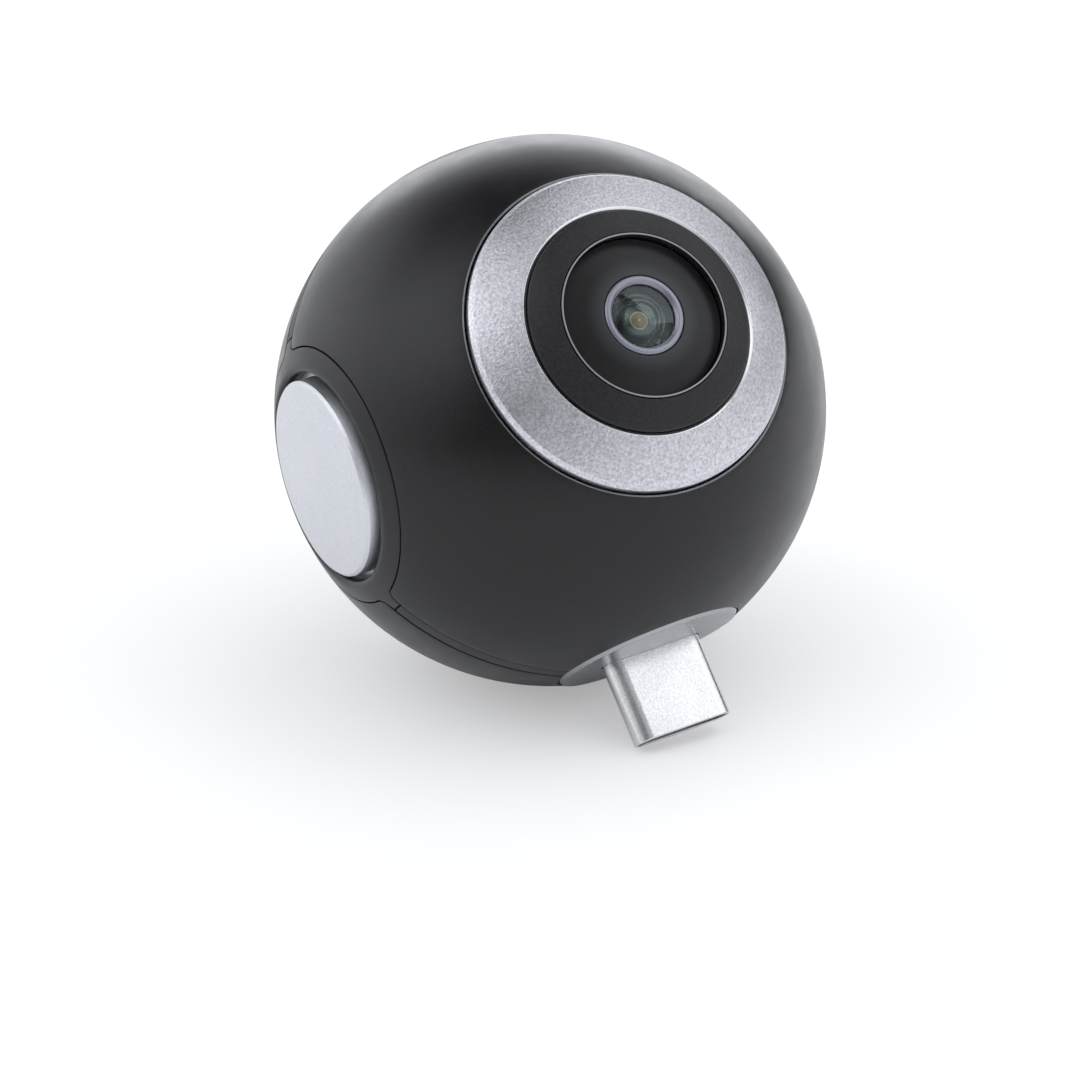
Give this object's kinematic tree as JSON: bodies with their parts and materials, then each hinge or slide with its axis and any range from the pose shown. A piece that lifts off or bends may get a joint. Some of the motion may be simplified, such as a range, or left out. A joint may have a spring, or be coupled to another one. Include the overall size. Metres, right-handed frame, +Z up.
{
  "type": "360 degree camera",
  "caption": "Ball-shaped 360 degree camera with a fisheye lens front and rear, a sprung side button and a USB-C plug below, by which a phone holds it.",
  "frame": {"origin": "on the plug's axis, where the plug leaves the ball: the lowest point of the ball's sphere", "axes": "+Z up along the plug's axis, away from the plug; the front lens looks along -Y and the button is at -X"},
  "size_m": [0.0406, 0.0424, 0.0479],
  "materials": {
    "shell_black": "satin black with a fine spark texture",
    "bezel_black": "smooth satin black",
    "frame_black": "matt black",
    "button_silver": "bead-blasted, clear anodised",
    "ring_silver": "bead-blasted, clear anodised, with bright bevels",
    "plate_silver": "satin, clear anodised",
    "surround_black": "matt black with a fine texture",
    "accent_bright": "bright cut edge",
    "well_black": "glossy black",
    "barrel_black": "matt black",
    "retainer_grey": "anodised, purple grey",
    "lens_glass": "clear, coated, green reflex",
    "filter_glass": "clear, pale blue",
    "plug_steel": "polished stainless steel",
    "plug_black": "matt black",
    "contact_gold": "gold plated",
    "spring_steel": "bright spring steel",
    "board_green": "green solder mask",
    "chip_black": "matt black mould compound",
    "pad_grey": "soft blue-grey pad",
    "can_steel": "tinned sheet",
    "capacitor_tan": "tan ceramic",
    "connector_ivory": "ivory",
    "flex_amber": "amber film",
    "screw_steel": "zinc plated",
    "switch_black": "matt black"
  },
  "bodies": {
    "housing": {"front_shell": "shell_black", "rear_shell": "shell_black", "button_bezel": "bezel_black", "side_bezel": "bezel_black", "top_cap": "bezel_black", "mid_frame": "frame_black", "button_bracket": "frame_black", "side_plate": "button_silver", "front_lens_ring": "ring_silver", "rear_lens_ring": "ring_silver", "plug_plate": "plate_silver", "front_lens_surround": "surround_black", "rear_lens_surround": "surround_black", "front_accent_ring": "accent_bright", "rear_accent_ring": "accent_bright", "front_lens_well": "well_black", "rear_lens_well": "well_black", "front_lens_barrel": "barrel_black", "rear_lens_barrel": "barrel_black", "front_lens_holder": "barrel_black", "rear_lens_holder": "barrel_black", "front_lens_retainer": "retainer_grey", "rear_lens_retainer": "retainer_grey", "front_fisheye_lens": "lens_glass", "rear_fisheye_lens": "lens_glass", "front_middle_lens": "lens_glass", "rear_middle_lens": "lens_glass", "front_rear_lens": "lens_glass", "rear_rear_lens": "lens_glass", "front_ir_filter": "filter_glass", "rear_ir_filter": "filter_glass", "usb_plug_shell": "plug_steel", "usb_plug_insulator": "plug_black", "usb_plug_contacts": "contact_gold", "usb_plug_latches": "spring_steel", "switch_dome": "spring_steel", "main_board": "board_green", "switch_board": "board_green", "front_sensor_board": "board_green", "rear_sensor_board": "board_green", "image_processor": "chip_black", "memory_chip": "chip_black", "power_chips": "chip_black", "front_image_sensor": "chip_black", "rear_image_sensor": "chip_black", "thermal_pad": "pad_grey", "shield_can": "can_steel", "board_capacitors": "capacitor_tan", "flex_connectors": "connector_ivory", "front_sensor_flex": "flex_amber", "rear_sensor_flex": "flex_amber", "bracket_screws": "screw_steel", "front_shell_screws": "screw_steel", "rear_shell_screws": "screw_steel", "board_screws": "screw_steel", "tact_switch": "switch_black"},
    "button": {"shutter_button": "button_silver"},
    "plunger": {"switch_plunger": "switch_black"}
  },
  "joints": [
    {"name": "button_press", "type": "slide", "parent": "housing", "child": "button", "axis": [1, 0, 0], "range_m": [0, 0.00045], "stiffness_N_per_m": 2500},
    {"name": "plunger_press", "type": "slide", "parent": "housing", "child": "plunger", "axis": [1, 0, 0], "range_m": [0, 0.00045], "deforming": ["switch_dome"]}
  ],
  "couplings": [
    {"joint": "plunger_press", "follows": "button_press", "ratio": 1}
  ]
}
